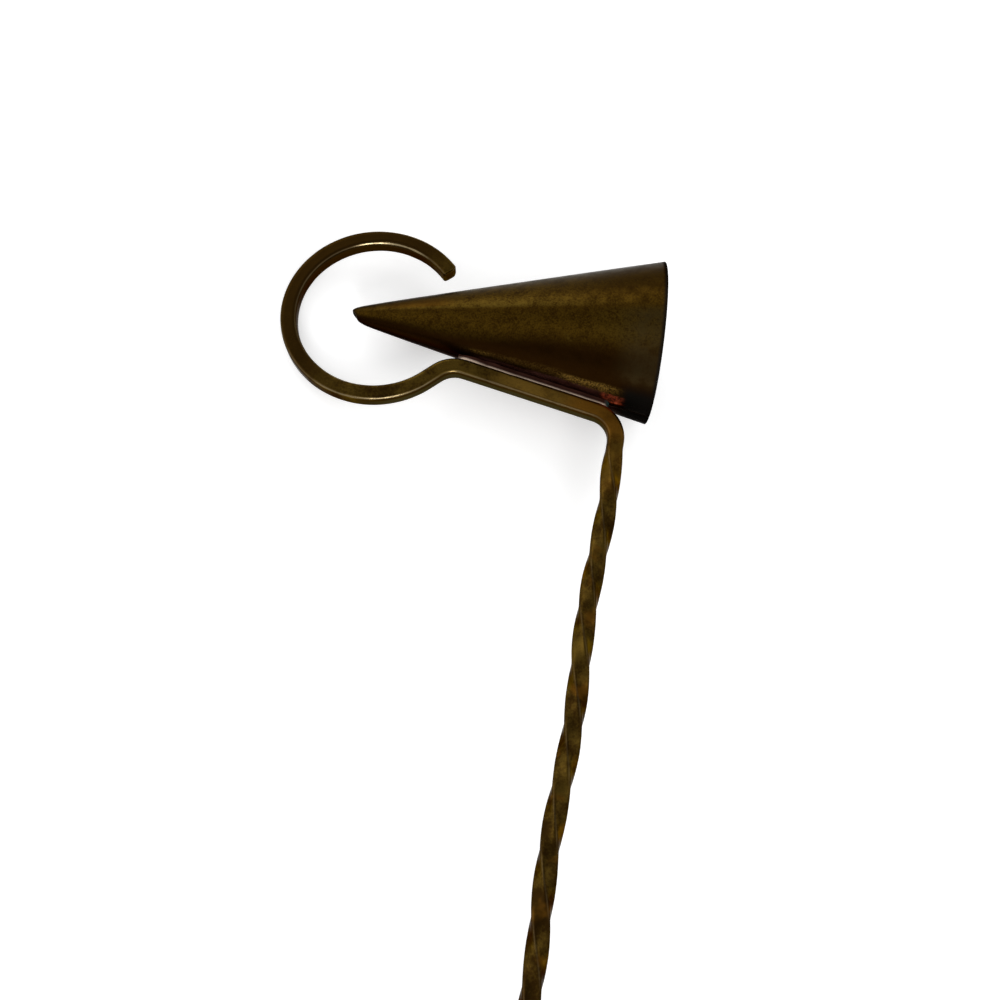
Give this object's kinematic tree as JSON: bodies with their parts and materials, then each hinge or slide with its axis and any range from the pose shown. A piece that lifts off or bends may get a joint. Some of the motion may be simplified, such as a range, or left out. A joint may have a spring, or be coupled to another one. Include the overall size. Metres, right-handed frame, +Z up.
{
  "type": "candle snuffer",
  "caption": "Aged brass candle snuffer: plain rolled cone brazed by its side onto a square bar bent into an open hanging hook and twisted into a long straight handle.",
  "frame": {"origin": "on the table, under the middle of the whole as it lies at rest on the cone's rim, the hook and the end of the shank", "axes": "+Z up from the table; the shank runs along -Y away from the head; the cone's mouth faces +X"},
  "size_m": [0.0754, 0.2676, 0.031],
  "materials": {
    "aged_bar_brass": "drawn bar, dark antique patina rubbed bright on the edges",
    "aged_sheet_brass": "rolled sheet, mottled olive-brown patina with heat tint and soot near the seat",
    "brazing_filler": "dull pinkish silver filler, smooth meniscus"
  },
  "bodies": {
    "root": {"handle_bar": "aged_bar_brass", "snuffer_cone": "aged_sheet_brass", "seam_braze": "brazing_filler", "tip_braze": "brazing_filler", "seat_braze": "brazing_filler"}
  },
  "joints": []
}
